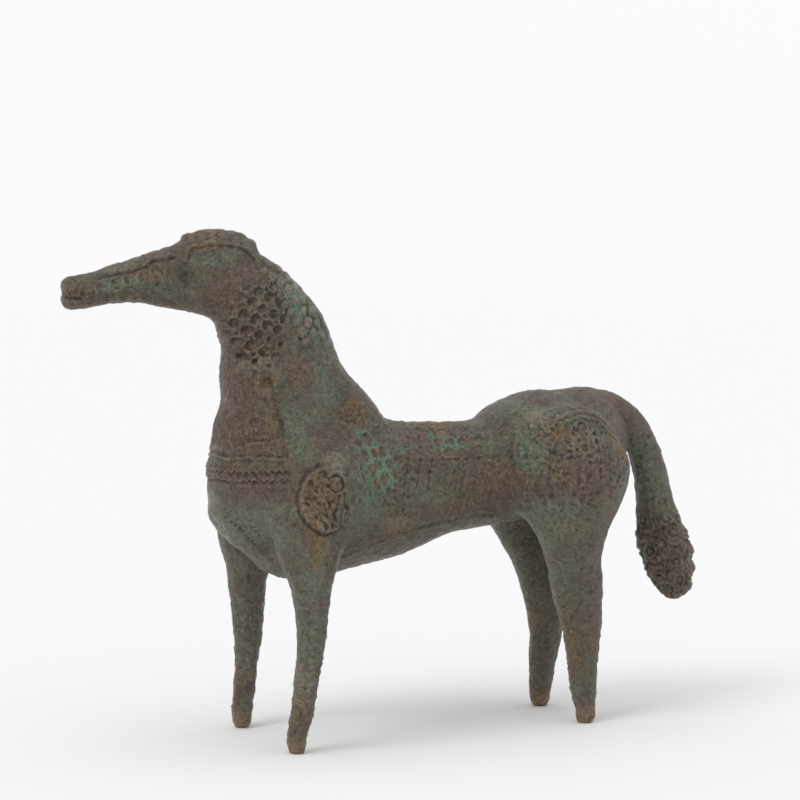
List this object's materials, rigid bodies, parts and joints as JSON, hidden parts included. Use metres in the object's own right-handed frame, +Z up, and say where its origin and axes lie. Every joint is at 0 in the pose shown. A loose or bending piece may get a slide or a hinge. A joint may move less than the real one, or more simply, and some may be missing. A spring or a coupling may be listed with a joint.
{
  "type": "bronze horse sculpture",
  "caption": "Standing horse cast in patinated bronze, with tube-like muzzle, capped head, scaled neck, stamped shoulder discs, peg legs and a club tail.",
  "frame": {"origin": "on the ground, under the middle of the bounding box", "axes": "+X from the muzzle towards the tail, +Y towards the horse's right side, +Z up"},
  "size_m": [0.4492, 0.1348, 0.3301],
  "materials": {
    "bronze": "old cast bronze, dark brown-olive with green patina, rubbed on the high places"
  },
  "bodies": {
    "root": {"horse": "bronze"}
  },
  "joints": []
}
